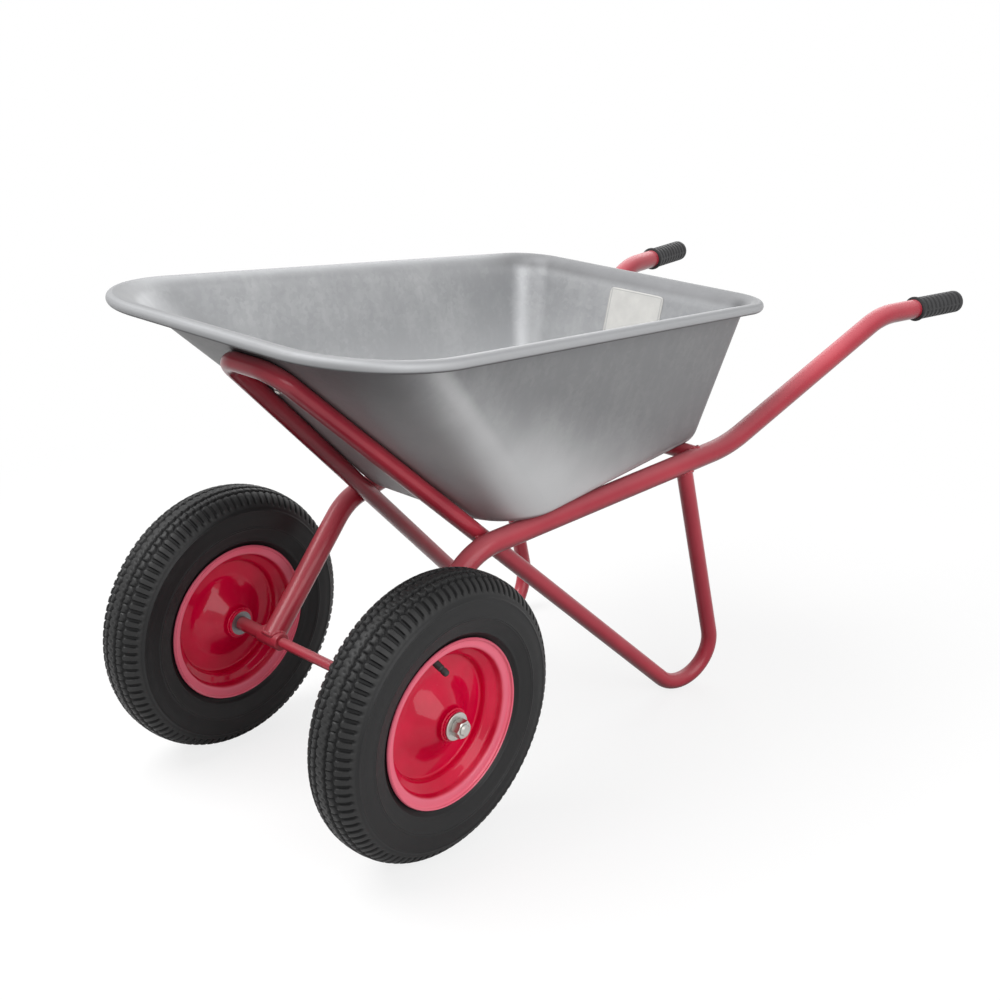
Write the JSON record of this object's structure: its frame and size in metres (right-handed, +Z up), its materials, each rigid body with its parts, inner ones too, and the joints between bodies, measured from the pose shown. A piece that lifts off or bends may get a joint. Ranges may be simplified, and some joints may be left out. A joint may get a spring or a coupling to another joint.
{
  "type": "two wheel wheelbarrow",
  "caption": "Wheelbarrow with a galvanised drawn tray on a bent red tube frame, pneumatic wheels that spin on one axle, a leg hoop that it stands on and ribbed grips.",
  "frame": {"origin": "on the ground under the middle of the bounding box", "axes": "+Y from the wheels back to the grips, +X to the left hand of the person behind it, +Z up"},
  "size_m": [0.6174, 1.4016, 0.6975],
  "materials": {
    "galvanised": "hot dip galvanised, spangled",
    "frame_paint": "satin powder coat",
    "rim_paint": "gloss enamel",
    "zinc": "zinc plated",
    "bearing_steel": "ground steel",
    "tyre": "moulded rubber",
    "tube_rubber": "smooth butyl",
    "valve_rubber": "smooth rubber",
    "grip": "soft moulded grip"
  },
  "bodies": {
    "frame": {"tray": "galvanised", "left_handle_tube": "frame_paint", "right_handle_tube": "frame_paint", "leg_hoop": "frame_paint", "hoop_plate": "frame_paint", "cross_tube": "frame_paint", "axle": "frame_paint", "axle_bosses": "frame_paint", "axle_spacers": "frame_paint", "hub_spacers": "bearing_steel", "bearing_inner_rings": "bearing_steel", "axle_washers": "zinc", "axle_nuts": "zinc", "left_grip": "grip", "right_grip": "grip", "tray_bolts": "zinc", "tray_washers": "zinc", "tray_nuts": "zinc"},
    "left_wheel": {"left_tyre": "tyre", "left_inner_tube": "tube_rubber", "left_rim_outer": "rim_paint", "left_rim_inner": "rim_paint", "left_hub_sleeve": "rim_paint", "left_bearing_outer_rings": "bearing_steel", "left_bearing_balls": "bearing_steel", "left_valve_stem": "valve_rubber", "left_valve_cap": "valve_rubber"},
    "right_wheel": {"right_tyre": "tyre", "right_inner_tube": "tube_rubber", "right_rim_outer": "rim_paint", "right_rim_inner": "rim_paint", "right_hub_sleeve": "rim_paint", "right_bearing_outer_rings": "bearing_steel", "right_bearing_balls": "bearing_steel", "right_valve_stem": "valve_rubber", "right_valve_cap": "valve_rubber"}
  },
  "joints": [
    {"name": "left_wheel_spin", "type": "hinge", "parent": "frame", "child": "left_wheel", "pos_m": [0.212, -0.50588, 0.195], "axis": [1, 0, 0], "continuous": true},
    {"name": "right_wheel_spin", "type": "hinge", "parent": "frame", "child": "right_wheel", "pos_m": [-0.212, -0.50588, 0.195], "axis": [1, 0, 0], "continuous": true}
  ]
}
